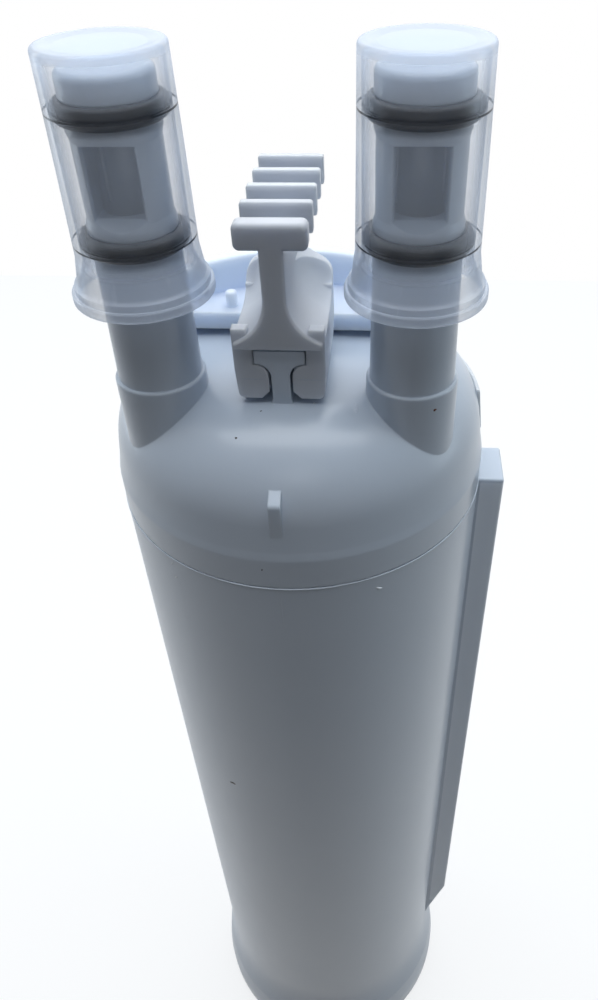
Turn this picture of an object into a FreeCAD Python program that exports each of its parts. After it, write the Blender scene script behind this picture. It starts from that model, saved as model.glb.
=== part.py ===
"""Twin-port fridge water filter cartridge, standing on its base with the ports up.

Millimetres. The origin is the centre of the base's underside, +Z runs up the cartridge's axis
and the front, where the key's rail can be seen end on, faces -Y.
"""
import FreeCAD
import Part
import math
import os

V = FreeCAD.Vector

# Housing: a long drafted tube with a flared foot and an alignment rail on its +X side
SEAM_HEIGHT = 213.0
BODY_RADIUS = 33.0
BODY_DRAFT = 0.6
HOUSING_WALL = 2.6
HOUSING_BORE = BODY_RADIUS - HOUSING_WALL
FOOT_RADIUS = BODY_RADIUS - BODY_DRAFT
FLARE_HEIGHT = 16.0
FLARE_REACH = 2.0
BASE_RIM_RADIUS = FOOT_RADIUS + FLARE_REACH
RAIL_REACH = 4.5
RAIL_WIDTH = 10.0
RAIL_OFFSET = 1.0
RAIL_END = 45.0
RAIL_TOP_GAP = 0.2
RAIL_LENGTH = SEAM_HEIGHT - RAIL_END
RAIL_RAMP = 16.0
RAIL_RAMP_END = 0.8
RAIL_TOE_ROUNDING = 3.0
RAIL_RAMP_ROUNDING = 12.0
RAIL_EDGE = 0.5
SEAM_EDGE = 0.25

# Base cap, spun into the foot of the housing
BASE_HEIGHT = 15.0
BASE_BULGE = 0.8
BASE_EDGE = 3.5
BASE_FLOOR = 2.8
BASE_RECESS = 2.4
BASE_RING_WIDTH = 6.0
BASE_PAD_RADIUS = 9.0
SPIGOT_LENGTH = 8.0
SPIGOT_WALL = 2.4
SPIGOT_FIT = 0.1
SPIGOT_RADIUS = HOUSING_BORE - SPIGOT_FIT
SPIGOT_BORE = SPIGOT_RADIUS - SPIGOT_WALL

# Head: skirt, rounded shoulder and a nearly flat crown
SKIRT_HEIGHT = 7.5
SKIRT_SLOPE = 1.6
SKIRT_STEP = 0.3
SHOULDER_RADIUS = BODY_RADIUS - SKIRT_STEP
SHOULDER_LEAN = 8.0
SHOULDER_BEND = 15.5
CROWN_HEIGHT = 26.0
CROWN_RISE = 0.7
HEAD_WALL = 3.0
HEAD_SPIGOT_WALL = 1.6

# Ports: two closed stems with a side window between their O-rings
PORT_INSET = 9.17
PORT_ANGLE = math.radians(35.09)
PORT_X = (BODY_RADIUS - PORT_INSET) * math.cos(PORT_ANGLE)
PORT_Y = -(BODY_RADIUS - PORT_INSET) * math.sin(PORT_ANGLE)
STEM_RADIUS = 6.2
STEM_TAPER = 0.3
STEM_FOOT_RADIUS = STEM_RADIUS + STEM_TAPER
STEM_WAIST = 0.3
STEM_WAIST_RADIUS = STEM_RADIUS - STEM_WAIST
COLLAR_STEP = 0.5
COLLAR_RADIUS = STEM_FOOT_RADIUS + COLLAR_STEP
COLLAR_RISE = 2.2
COLLAR_TOP = CROWN_HEIGHT + COLLAR_RISE
NOSE_HEIGHT = 71.2
NOSE_CHAMFER = 0.9
PORT_BORE = 3.4
SEAL_SECTION = 2.4
SEAL_PROUD = 1.4
SEAL_RADIUS = STEM_RADIUS + SEAL_PROUD
SEAL_CENTRE_RADIUS = SEAL_RADIUS - SEAL_SECTION / 2
SEAL_GROOVE_SIDE = 0.2
SEAL_GROOVE_FIT = 0.02
SEAL_BELOW_NOSE = 4.7
SEAL_SPACING = 16.7
SEAL_HIGH_HEIGHT = NOSE_HEIGHT - SEAL_BELOW_NOSE
SEAL_LOW_HEIGHT = SEAL_HIGH_HEIGHT - SEAL_SPACING
STEM_TAPER_GAP = 3.8
STEM_TAPER_TOP = SEAL_LOW_HEIGHT - STEM_TAPER_GAP
WINDOW_WIDTH = 6.5
WINDOW_SILL = 4.0
WINDOW_LINTEL = 3.7
WINDOW_LOW = SEAL_LOW_HEIGHT + WINDOW_SILL
WINDOW_HIGH = SEAL_HIGH_HEIGHT - WINDOW_LINTEL
WINDOW_DEPTH = 7.6
WINDOW_BEVEL = 0.7
PIPE_WALL = 2.4

# Port caps: thin translucent cups with a stepped brim
CAP_FIT = 0.1
CAP_BORE = SEAL_RADIUS + CAP_FIT
CAP_TOP_WALL = 0.55
CAP_TOP_RADIUS = CAP_BORE + CAP_TOP_WALL
CAP_FOOT_WALL = 0.9
CAP_FOOT_RADIUS = CAP_BORE + CAP_FOOT_WALL
CAP_BELOW_SEAL = 8.4
CAP_HEADROOM = 1.6
CAP_END_WALL = 0.9
CAP_MOUTH = SEAL_LOW_HEIGHT - CAP_BELOW_SEAL
CAP_HEIGHT = NOSE_HEIGHT + CAP_HEADROOM + CAP_END_WALL - CAP_MOUTH
CAP_EDGE = 0.6
BRIM_REACH = 1.6
BRIM_RADIUS = CAP_FOOT_RADIUS + BRIM_REACH
BRIM_LIP = 1.5
BRIM_STEP = 0.55
BRIM_STEP_HEIGHT = 0.9
BRIM_FLARE = 5.2
BRIM_WALL = 0.9

# T-shaped rail on the crown, which carries the key
TEE_FRONT = -18.5
TEE_LENGTH = 18.0
TEE_REAR = TEE_FRONT + TEE_LENGTH
TEE_HEIGHT = 8.5
TEE_TOP = CROWN_HEIGHT + TEE_HEIGHT
TEE_HALF = 3.75
TEE_LIP = 2.1
TEE_WEB_HALF = 1.4
TEE_SCOOP = 2.2
TEE_FOOT_FLARE = 0.2
STOP_THICKNESS = 1.6

# Key: five cross fingers on a spine, with a slotted foot that slides over the rail
KEY_FIT = 0.2
KEY_FOOT_LIFT = 0.5
KEY_HALF = 6.75
KEY_SHOULDER_RISE = 3.5
KEY_SHOULDER = TEE_TOP + KEY_SHOULDER_RISE
KEY_CREST_RISE = 8.5
KEY_CREST = TEE_TOP + KEY_CREST_RISE
KEY_RUNOUT = 5.0
SPINE_HALF = 1.7
SPINE_RISE = 6.3
SPINE_TOP = KEY_CREST + SPINE_RISE
FINGER_COUNT = 5
FINGER_PITCH = 6.3
FINGER_HALF = 5.05
FINGER_HEIGHT = 4.3
FINGER_THICKNESS = 1.2
FRONT_FINGER_HEIGHT = 3.8
FRONT_FINGER_THICKNESS = 2.3
FRONT_PROUD = 0.6
SCOOP_RADIUS = 7.4
SCOOP_END = -8.0
LUG_WIDTH = 2.3
LUG_DEPTH = 1.7
REAR_LUG_DEPTH = 3.4
LEG_BOTTOM_RADIUS = 1.2

# Small fin on the front of the shoulder
FIN_THICKNESS = 1.9
FIN_X = -0.3
FIN_INSET = 0.7
FIN_REACH = BODY_RADIUS - FIN_INSET
FIN_HEIGHT = 9.0
FIN_EDGE = SKIRT_HEIGHT + FIN_HEIGHT
FIN_SLOPE = 33.0
FIN_RUN = 6.0
FIN_ROUNDING = 0.9

# Rear shroud: a band round the back of the shoulder, an apron up from it, and a walled tray
SHROUD_STOP_GAP = 0.4
SHROUD_FRONT = TEE_REAR + STOP_THICKNESS + SHROUD_STOP_GAP
SHROUD_GAP = 0.15
SHROUD_LIFT = 0.05
BAND_STEP = 0.1
BAND_RADIUS = BODY_RADIUS - BAND_STEP
BAND_THICKNESS = 6.2
BAND_DRAFT = 0.9
BAND_HEIGHT = 8.1
BAND_TOP = SKIRT_HEIGHT + BAND_HEIGHT
BAND_SEAT_DEPTH = 1.5
BAND_SEAT_RADIUS = SHOULDER_RADIUS - BAND_SEAT_DEPTH
APRON_HALF = 18.0
APRON_SETBACK = 4.5
APRON_FRONT = SHROUD_FRONT + APRON_SETBACK
APRON_THICKNESS = 1.8
TRAY_LIFT = 1.0
TRAY_FLOOR = 3.0
TRAY_BOTTOM = CROWN_HEIGHT + TRAY_LIFT
TRAY_TOP = TRAY_BOTTOM + TRAY_FLOOR
TRAY_CENTRE_Y = -12.5
TRAY_INSET = 5.2
TRAY_WALL_RADIUS = BODY_RADIUS - TRAY_INSET
TRAY_WALL = 2.2
TRAY_DEPTH = 5.8
TRAY_RIM = TRAY_TOP + TRAY_DEPTH
TRAY_EDGE = 0.6
PEG_X = -11.0
PEG_Y = 4.2
PEG_RADIUS = 0.95
PEG_HEIGHT = 2.7

# Channel plate under the head, which leads the outlet port to the centre
PLATE_BOTTOM = -8.0
PLATE_THICKNESS = 2.5
DUCT_TOP = 0.0
DUCT_WALL = 1.2
INLET_HOLE = 3.6
GASKET_THICKNESS = 1.0
STEM_BOTTOM = DUCT_TOP + GASKET_THICKNESS

# Filter stack inside the housing, which fills it from the base cap up to the channel plate
STACK_GAP = 0.1
END_CAP_PLATE = 3.0
END_CAP_RIM = 5.0
END_CAP_RIM_WALL = 1.0
END_CAP_GAP = 0.3
END_CAP_RADIUS = SPIGOT_BORE - END_CAP_GAP
NET_THICKNESS = 0.8
NET_RADIUS = END_CAP_RADIUS - END_CAP_RIM_WALL - STACK_GAP
NET_STRANDS = 12
NET_RINGS = 7
NET_BAR = 1.2
WRAP_THICKNESS = 1.0
WRAP_RADIUS = NET_RADIUS - NET_THICKNESS - STACK_GAP
NECK_RADIUS = 8.0
NECK_BORE = 4.8
NECK_LENGTH = 14.0
NECK_HEADROOM = 3.5
NECK_TOP = SEAM_HEIGHT + PLATE_BOTTOM - NECK_HEADROOM
NECK_SEAL_SECTION = 1.8
BLOCK_BOTTOM = 16.5
BLOCK_TOP = NECK_TOP - NECK_LENGTH - END_CAP_PLATE
BLOCK_LENGTH = BLOCK_TOP - BLOCK_BOTTOM
BLOCK_RADIUS = WRAP_RADIUS - WRAP_THICKNESS - STACK_GAP
BLOCK_BORE = 6.0
CORE_WALL = 1.2
CORE_GAP = 0.15
CORE_SLOT_ROWS = 6
SEAT_RADIUS = 6.0
SEAT_HEADROOM = 2.0
SEAT_TOP = BLOCK_BOTTOM - END_CAP_PLATE - SEAT_HEADROOM
SOCKET_FIT = 0.15
SOCKET_WALL = 2.2


def up(height):
    """Height above the base's underside of a height given above the seam."""
    return SEAM_HEIGHT + height


def rounded_edges(corners, point):
    """Edges of a closed outline from (a, b, radius) corners, each corner rounded by a tangent arc."""
    count = len(corners)
    ends = []
    edges = []
    for index in range(count):
        a, b, radius = corners[index]
        before = corners[index - 1]
        after = corners[(index + 1) % count]
        to_before = V(before[0] - a, before[1] - b, 0)
        to_after = V(after[0] - a, after[1] - b, 0)
        if radius == 0:
            ends.append(((a, b), (a, b)))
            continue
        half = to_before.getAngle(to_after) / 2
        reach = radius / math.tan(half)
        start = V(a, b, 0) + to_before.normalize() * reach
        finish = V(a, b, 0) + to_after.normalize() * reach
        bisector = (to_before + to_after).normalize()
        middle = V(a, b, 0) + bisector * (radius / math.sin(half) - radius)
        ends.append(((start.x, start.y), (finish.x, finish.y)))
        edges.append(Part.Arc(point(start.x, start.y), point(middle.x, middle.y),
                              point(finish.x, finish.y)).toShape())
    for index in range(count):
        leave = ends[index][1]
        arrive = ends[(index + 1) % count][0]
        if math.dist(leave, arrive) > 1e-6:
            edges.append(Part.LineSegment(point(*leave), point(*arrive)).toShape())
    return edges


def outline_face(corners, point):
    """A flat face bounded by a rounded outline."""
    edges = Part.sortEdges(rounded_edges(corners, point))[0]
    return Part.Face(Part.Wire(edges))


def turned(corners):
    """A solid of revolution about Z from (radius, height, rounding) corners."""
    face = outline_face(corners, lambda r, z: V(r, 0, z))
    return face.revolve(V(0, 0, 0), V(0, 0, 1), 360)


def pushed_along_y(corners, start, finish):
    """A prism along Y from an (x, z, rounding) outline."""
    face = outline_face(corners, lambda x, z: V(x, start, z))
    return face.extrude(V(0, finish - start, 0))


def pushed_along_x(corners, half_width):
    """A prism across X, centred on it, from a (y, z, rounding) outline."""
    face = outline_face(corners, lambda y, z: V(-half_width, y, z))
    return face.extrude(V(2 * half_width, 0, 0))


def disc(radius, low, high, x=0.0, y=0.0):
    """An upright cylinder between two heights."""
    return Part.makeCylinder(radius, high - low, V(x, y, low))


def tube(radius, bore, low, high, x=0.0, y=0.0):
    """An upright tube between two heights."""
    return disc(radius, low, high, x, y).cut(disc(bore, low - 1, high + 1, x, y))


def block(x0, x1, y0, y1, z0, z1):
    """A box between two corners."""
    return Part.makeBox(x1 - x0, y1 - y0, z1 - z0, V(x0, y0, z0))


def ring_seal(radius, section, height, x=0.0, y=0.0):
    """An O-ring lying level, by the radius of its centre line."""
    return Part.makeTorus(radius, section / 2, V(x, y, height), V(0, 0, 1))


def mirrored(corners):
    """An outline across X from the corners of its +X half, listed from the bottom up."""
    return corners + [(-x, z, radius) for x, z, radius in reversed(corners)]


def housing():
    """The pressure tube with its flared foot and the alignment rail."""
    flare_radius = (FLARE_HEIGHT ** 2 + FLARE_REACH ** 2) / (2 * FLARE_REACH)
    flare_top = BASE_HEIGHT + FLARE_HEIGHT
    half = FLARE_HEIGHT / 2
    bow = flare_radius - math.sqrt(flare_radius ** 2 - half ** 2)
    corners = [V(HOUSING_BORE, 0, BASE_HEIGHT), V(BASE_RIM_RADIUS, 0, BASE_HEIGHT),
               V(FOOT_RADIUS, 0, flare_top), V(BODY_RADIUS, 0, SEAM_HEIGHT - SEAM_EDGE),
               V(BODY_RADIUS - SEAM_EDGE, 0, SEAM_HEIGHT), V(HOUSING_BORE, 0, SEAM_HEIGHT)]
    flare = Part.Arc(corners[1], V(FOOT_RADIUS + bow, 0, flare_top - half), corners[2]).toShape()
    count = len(corners)
    edges = [Part.LineSegment(corners[i], corners[(i + 1) % count]).toShape()
             for i in range(count) if i != 1]
    wall = Part.Face(Part.Wire(Part.sortEdges(edges + [flare])[0]))
    shell = wall.revolve(V(0, 0, 0), V(0, 0, 1), 360)
    return shell.fuse(alignment_rail()).removeSplitter()


def alignment_rail():
    """The straight rib down the housing's side, ramped into the flare at its lower end."""
    face_x = BODY_RADIUS + RAIL_REACH
    low = up(-RAIL_LENGTH)
    root_x = HOUSING_BORE + HOUSING_WALL / 2
    corners = [(root_x, up(-RAIL_TOP_GAP), 0), (face_x, up(-RAIL_TOP_GAP), RAIL_EDGE),
               (face_x, low, RAIL_TOE_ROUNDING),
               (FOOT_RADIUS + RAIL_RAMP_END, low - RAIL_RAMP, RAIL_RAMP_ROUNDING),
               (root_x, low - 1.5 * RAIL_RAMP, 0)]
    face = outline_face(corners, lambda x, z: V(x, RAIL_OFFSET - RAIL_WIDTH / 2, z))
    rib = face.extrude(V(0, RAIL_WIDTH, 0))
    upright = [e for e in rib.Edges if e.Length > RAIL_LENGTH / 2
               and abs(e.CenterOfMass.x - face_x) < 0.01]
    tube_height = block(0, 2 * face_x, -face_x, face_x, BASE_HEIGHT, SEAM_HEIGHT)
    return rib.makeFillet(RAIL_EDGE, upright).common(tube_height)


def base_cap():
    """The end cap: a rounded foot ring round a middle pad, a spigot and a seat for the stack."""
    widest = BASE_RIM_RADIUS + BASE_BULGE
    ring_in = widest - BASE_EDGE - BASE_RING_WIDTH
    floor = BASE_RECESS + BASE_FLOOR
    spigot_end = BASE_HEIGHT + SPIGOT_LENGTH
    corners = [(0, 0, 0), (BASE_PAD_RADIUS, 0, 0), (BASE_PAD_RADIUS + BASE_RECESS, BASE_RECESS, 0),
               (ring_in - BASE_RECESS, BASE_RECESS, 0), (ring_in, 0, 0),
               (widest, 0, BASE_EDGE), (widest, BASE_HEIGHT * 0.55, 1.5),
               (BASE_RIM_RADIUS, BASE_HEIGHT, 0), (SPIGOT_RADIUS, BASE_HEIGHT, 0),
               (SPIGOT_RADIUS, spigot_end, 0), (SPIGOT_BORE, spigot_end, 0),
               (SPIGOT_BORE, floor, 2.0), (SEAT_RADIUS, floor, 0), (SEAT_RADIUS, SEAT_TOP, 0.8),
               (0, SEAT_TOP, 0)]
    return turned(corners)


def crown_solid(inset, bottom):
    """The rounded top of the head above a height, moved inwards by an inset or outwards by a negative one."""
    lean = math.radians(SHOULDER_LEAN)
    foot = SHOULDER_RADIUS - inset / math.cos(lean)
    edge_height = CROWN_HEIGHT - CROWN_RISE - inset
    edge = foot - (edge_height - SKIRT_HEIGHT) * math.tan(lean)
    return turned([(0, bottom, 0), (foot, bottom, 0), (foot, up(SKIRT_HEIGHT), 0),
                   (edge, up(edge_height), SHOULDER_BEND - inset), (0, up(CROWN_HEIGHT) - inset, 0)])


def head_shell():
    """Skirt, shoulder, crown and the spigot that is spun into the housing."""
    skirt = turned([(0, up(0), 0), (BODY_RADIUS, up(0), SEAM_EDGE),
                    (BODY_RADIUS, up(SKIRT_HEIGHT - SKIRT_SLOPE), 3.0),
                    (SHOULDER_RADIUS, up(SKIRT_HEIGHT), 0), (0, up(SKIRT_HEIGHT), 0)])
    spigot = disc(SPIGOT_RADIUS, up(-SPIGOT_LENGTH), up(0))
    return skirt.fuse([crown_solid(0, up(0)), spigot])


def band_seat():
    """The ledge cut into the rear half of the shoulder, on which the shroud's band stands."""
    far = 2 * BODY_RADIUS
    ring = tube(far, BAND_SEAT_RADIUS, up(SKIRT_HEIGHT), up(CROWN_HEIGHT))
    return ring.common(block(-far, far, SHROUD_FRONT - SHROUD_GAP, far, up(0), up(CROWN_HEIGHT)))


def stem(side):
    """One port's outside: the collar on the shoulder, the tapered stem and its rounded nose."""
    x = side * PORT_X
    waist_low = SEAL_LOW_HEIGHT + SEAL_SECTION
    waist_high = SEAL_HIGH_HEIGHT - SEAL_SECTION
    corners = [(0, up(0), 0), (COLLAR_RADIUS, up(0), 0), (COLLAR_RADIUS, up(COLLAR_TOP), 0.4),
               (STEM_FOOT_RADIUS, up(COLLAR_TOP), 0), (STEM_RADIUS, up(STEM_TAPER_TOP), 0),
               (STEM_RADIUS, up(waist_low), 0), (STEM_WAIST_RADIUS, up(waist_low + 1), 0),
               (STEM_WAIST_RADIUS, up(waist_high - 1), 0), (STEM_RADIUS, up(waist_high), 0),
               (STEM_RADIUS, up(NOSE_HEIGHT), NOSE_CHAMFER), (0, up(NOSE_HEIGHT), 0)]
    shape = turned(corners)
    shape.translate(V(x, PORT_Y, 0))
    groove_bottom = SEAL_CENTRE_RADIUS - SEAL_SECTION / 2 - SEAL_GROOVE_FIT
    groove_half = SEAL_SECTION / 2 + SEAL_GROOVE_SIDE
    for height in (SEAL_LOW_HEIGHT, SEAL_HIGH_HEIGHT):
        shape = shape.cut(tube(COLLAR_RADIUS, groove_bottom, up(height) - groove_half,
                               up(height) + groove_half, x, PORT_Y))
    return shape


def port_void(side):
    """The water way of one port: the bore and the window that opens it to the front."""
    x = side * PORT_X
    roof = up(WINDOW_HIGH)
    bore = disc(PORT_BORE, up(PLATE_BOTTOM), roof, x, PORT_Y)
    back = PORT_Y - STEM_WAIST_RADIUS + WINDOW_DEPTH
    half = WINDOW_WIDTH / 2
    mouth = PORT_Y - STEM_RADIUS - 1
    window = block(x - half, x + half, mouth, back, up(WINDOW_LOW), roof)
    face_y = PORT_Y - math.sqrt(STEM_WAIST_RADIUS ** 2 - half ** 2)
    near = outline_face([(x - half - 2 * WINDOW_BEVEL, up(WINDOW_LOW) - 2 * WINDOW_BEVEL, 0),
                         (x + half + 2 * WINDOW_BEVEL, up(WINDOW_LOW) - 2 * WINDOW_BEVEL, 0),
                         (x + half + 2 * WINDOW_BEVEL, roof + WINDOW_BEVEL, 0),
                         (x - half - 2 * WINDOW_BEVEL, roof + WINDOW_BEVEL, 0)],
                        lambda a, b: V(a, face_y - 2 * WINDOW_BEVEL, b))
    far = outline_face([(x - half, up(WINDOW_LOW), 0), (x + half, up(WINDOW_LOW), 0),
                        (x + half, roof, 0), (x - half, roof, 0)],
                       lambda a, b: V(a, face_y + WINDOW_BEVEL, b))
    bevel = Part.makeLoft([near.OuterWire, far.OuterWire], True, True)
    return bore.fuse([window, bevel])


def tee_corners(foot):
    """The rail's section from its foot up, for the +X half."""
    lip_low = up(TEE_TOP - TEE_LIP)
    return [(TEE_WEB_HALF + TEE_FOOT_FLARE, foot, 0), (TEE_WEB_HALF, foot + 2 * TEE_FOOT_FLARE, 0),
            (TEE_WEB_HALF, lip_low, TEE_SCOOP), (TEE_HALF, lip_low, 0),
            (TEE_HALF, up(TEE_TOP), 0.2)]


def tee_rail():
    """The key's rail, from its front end back to the stop that the key comes up against."""
    flare_foot = up(CROWN_HEIGHT) - TEE_FOOT_FLARE
    web_low = up(CROWN_HEIGHT) - HEAD_WALL
    rail = pushed_along_y(mirrored(tee_corners(flare_foot)), TEE_FRONT, TEE_REAR + STOP_THICKNESS)
    web = block(-TEE_WEB_HALF - TEE_FOOT_FLARE, TEE_WEB_HALF + TEE_FOOT_FLARE, TEE_FRONT,
                TEE_REAR + STOP_THICKNESS, web_low, flare_foot)
    stop = block(-TEE_HALF - KEY_FIT - 1, TEE_HALF + KEY_FIT + 1, TEE_REAR,
                 TEE_REAR + STOP_THICKNESS, web_low, up(TEE_TOP))
    return rail.fuse([web, stop])


def fin():
    """The small upright fin on the front of the shoulder, with a facet that slopes back into the crown."""
    low = up(SKIRT_HEIGHT) - 0.5
    back = -FIN_REACH + FIN_RUN
    facet_top = up(FIN_EDGE) + FIN_RUN * math.tan(math.radians(FIN_SLOPE))
    plate = pushed_along_x([(-FIN_REACH, low, 0), (-FIN_REACH, up(FIN_EDGE), FIN_ROUNDING),
                            (back, facet_top, 0), (back, low, 0)], FIN_THICKNESS / 2)
    plate.translate(V(FIN_X, 0, 0))
    return plate


def head():
    """The head, one moulding: shell, ports, key rail and fin, hollowed from below."""
    solid = head_shell().fuse([stem(-1), stem(1), tee_rail(), fin()])
    spigot_bore = SPIGOT_RADIUS - HEAD_SPIGOT_WALL
    below = up(-SPIGOT_LENGTH) - 1
    hollow = crown_solid(HEAD_WALL, below).common(disc(spigot_bore, below, up(CROWN_HEIGHT)))
    pipes = Part.makeCompound([disc(PORT_BORE + PIPE_WALL, up(STEM_BOTTOM), up(CROWN_HEIGHT),
                                    side * PORT_X, PORT_Y) for side in (-1, 1)])
    solid = solid.cut([hollow.cut(pipes), band_seat()])
    for side in (-1, 1):
        solid = solid.cut(port_void(side))
    return solid.removeSplitter()


def scoop_cutter(side):
    """A ball-ended groove that hollows one flank of the key and runs out at its front."""
    centre_x = side * (SPINE_HALF + SCOOP_RADIUS)
    start = V(centre_x, TEE_FRONT - KEY_RUNOUT, up(KEY_CREST))
    groove = Part.makeCylinder(SCOOP_RADIUS, SCOOP_END - start.y, start, V(0, 1, 0))
    return groove.fuse(Part.makeSphere(SCOOP_RADIUS, V(centre_x, SCOOP_END, up(KEY_CREST))))


def key_slot():
    """The slot in the key's foot: the rail's section with its running clearance."""
    fit = KEY_FIT
    foot = up(CROWN_HEIGHT + KEY_FOOT_LIFT)
    lip_low = up(TEE_TOP - TEE_LIP) - fit
    web = TEE_WEB_HALF + 2 * fit
    half = [(web + LEG_BOTTOM_RADIUS + 1, foot - 1, 0), (web + LEG_BOTTOM_RADIUS, foot, 0),
            (web, foot + LEG_BOTTOM_RADIUS, 0), (web, lip_low, TEE_SCOOP - fit),
            (TEE_HALF + fit, lip_low, 0), (TEE_HALF + fit, up(TEE_TOP) + 2 * fit, 0)]
    return pushed_along_y(mirrored(half), TEE_FRONT - KEY_RUNOUT, TEE_REAR + KEY_RUNOUT)


def key_finger(index):
    """One cross finger, the first one thicker and rounder than the rest."""
    thickness = FRONT_FINGER_THICKNESS if index == 0 else FINGER_THICKNESS
    front = TEE_FRONT + FRONT_PROUD + index * FINGER_PITCH
    front = TEE_FRONT - FRONT_PROUD if index == 0 else front
    top = up(SPINE_TOP) + FINGER_HEIGHT
    low = top - (FRONT_FINGER_HEIGHT if index == 0 else FINGER_HEIGHT)
    round_end = 0.9 if index == 0 else 0.4
    corners = mirrored([(FINGER_HALF, low, round_end), (FINGER_HALF, top, round_end)])
    plate = pushed_along_y(corners, front, front + thickness)
    if index == 0:
        rim = [e for e in plate.Edges if abs(e.CenterOfMass.y - front) < 0.01]
        plate = plate.makeFillet(0.6, rim)
    return plate


def key_front_plate():
    """The plate at the key's front, which flares down from the spine to the foot."""
    low = up(TEE_TOP) + 3 * KEY_FIT
    front = TEE_FRONT - FRONT_PROUD
    face = outline_face([(-KEY_HALF + 0.3, low, 0.3), (KEY_HALF - 0.3, low, 0.3),
                         (KEY_HALF - 0.3, up(SPINE_TOP) + 1, 0), (-KEY_HALF + 0.3, up(SPINE_TOP) + 1, 0)],
                        lambda x, z: V(x, front, z))
    plate = face.extrude(V(0, FRONT_FINGER_THICKNESS, 0))
    upper = block(-KEY_HALF, KEY_HALF, front - 1, TEE_REAR, up(KEY_CREST), up(SPINE_TOP) + 2)
    spine_top = up(SPINE_TOP) + FINGER_HEIGHT - FRONT_FINGER_HEIGHT + 0.5
    spine = block(-SPINE_HALF, SPINE_HALF, front, front + FRONT_FINGER_THICKNESS, low, spine_top)
    plate = plate.cut([scoop_cutter(-1), scoop_cutter(1), upper]).fuse(spine).removeSplitter()
    edge = [e for e in plate.Edges if abs(e.CenterOfMass.y - front) < 0.01
            and e.BoundBox.ZMin > low + 0.5 and e.BoundBox.ZMax < spine_top - 0.1]
    return plate.makeFillet(0.4, edge)


def filter_key():
    """The key, one moulding, slid over the rail from the front up to the stop."""
    foot = up(CROWN_HEIGHT + KEY_FOOT_LIFT)
    rear = TEE_REAR - STACK_GAP
    front = TEE_FRONT
    bell = mirrored([(KEY_HALF - 0.3, foot, 1.0), (KEY_HALF, up(TEE_TOP - 3), 0),
                     (KEY_HALF, up(KEY_SHOULDER + 2.1), 3.0), (SPINE_HALF, up(KEY_CREST + 0.3), 0)])
    body = pushed_along_y(bell, front, rear)
    body = body.cut([scoop_cutter(-1), scoop_cutter(1)])
    spine_end = TEE_FRONT + (FINGER_COUNT - 1) * FINGER_PITCH + FRONT_PROUD + FINGER_THICKNESS
    spine = pushed_spine(front, rear, spine_end)
    lugs = []
    for side in (-1, 1):
        inner = side * (KEY_HALF - LUG_WIDTH)
        outer = side * KEY_HALF
        for start, depth in ((front, LUG_DEPTH), (rear - REAR_LUG_DEPTH, REAR_LUG_DEPTH)):
            lugs.append(block(min(inner, outer), max(inner, outer), start, start + depth,
                              up(TEE_TOP), up(KEY_SHOULDER)))
    fingers = [key_finger(index) for index in range(FINGER_COUNT)]
    key = body.fuse(lugs + [spine, key_front_plate()] + fingers)
    return key.cut(key_slot()).removeSplitter()


def pushed_spine(front, rear, spine_end):
    """The key's upright spine, cantilevered behind the foot under the last fingers."""
    corners = [(front, up(TEE_TOP + 2), 0), (rear, up(TEE_TOP + 2), 0), (rear, up(KEY_CREST - 3), 2.0),
               (spine_end, up(KEY_CREST + 1), 1.0), (spine_end, up(SPINE_TOP) + 0.5, 0),
               (front, up(SPINE_TOP) + 0.5, 0)]
    return pushed_along_x(corners, SPINE_HALF)


def rear_shroud():
    """The band on the skirt's ledge, the apron up the back and the walled tray with its peg."""
    far = 2 * BODY_RADIUS
    ledge = up(SKIRT_HEIGHT) + SHROUD_LIFT
    band_top = up(BAND_TOP)
    band_bore = BAND_RADIUS - BAND_THICKNESS
    band = turned([(band_bore, ledge, 0), (BAND_RADIUS, ledge, 0),
                   (BAND_RADIUS - BAND_DRAFT, band_top, 0.4), (band_bore, band_top, 0)])
    apron = crown_solid(-SHROUD_GAP - APRON_THICKNESS, up(0)).common(disc(BAND_RADIUS, ledge, far + ledge))
    apron = apron.common(block(-APRON_HALF, APRON_HALF, APRON_FRONT, far, ledge, far + ledge))
    tray = turned([(0, up(TRAY_BOTTOM), 0), (TRAY_WALL_RADIUS - TRAY_WALL / 2, up(TRAY_BOTTOM), 0),
                   (TRAY_WALL_RADIUS - TRAY_WALL / 2, up(TRAY_TOP), 0), (0, up(TRAY_TOP), 0)])
    bore = TRAY_WALL_RADIUS - TRAY_WALL
    wall = turned([(bore, band_top, 0), (TRAY_WALL_RADIUS, band_top, 0),
                   (TRAY_WALL_RADIUS, up(TRAY_RIM), TRAY_EDGE), (bore, up(TRAY_RIM), TRAY_EDGE)])
    upper = tray.fuse(wall)
    upper.translate(V(0, TRAY_CENTRE_Y, 0))
    shroud = upper.fuse([band, apron]).common(block(-far, far, SHROUD_FRONT, far, 0, 2 * SEAM_HEIGHT))
    seat = disc(BAND_SEAT_RADIUS + SHROUD_GAP, up(0), far + ledge)
    return shroud.cut(crown_solid(-SHROUD_GAP, up(0)).common(seat)).fuse(peg()).removeSplitter()


def peg():
    """The small upright peg on the shroud's tray."""
    low = up(TRAY_TOP)
    pin = turned([(0, low - 1, 0), (PEG_RADIUS, low - 1, 0), (PEG_RADIUS, low + PEG_HEIGHT, 0.4),
                  (0, low + PEG_HEIGHT, 0)])
    pin.translate(V(PEG_X, PEG_Y, 0))
    return pin


def port_seal(side, height):
    """An O-ring in one groove of a port."""
    return ring_seal(SEAL_CENTRE_RADIUS, SEAL_SECTION, up(height), side * PORT_X, PORT_Y)


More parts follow.
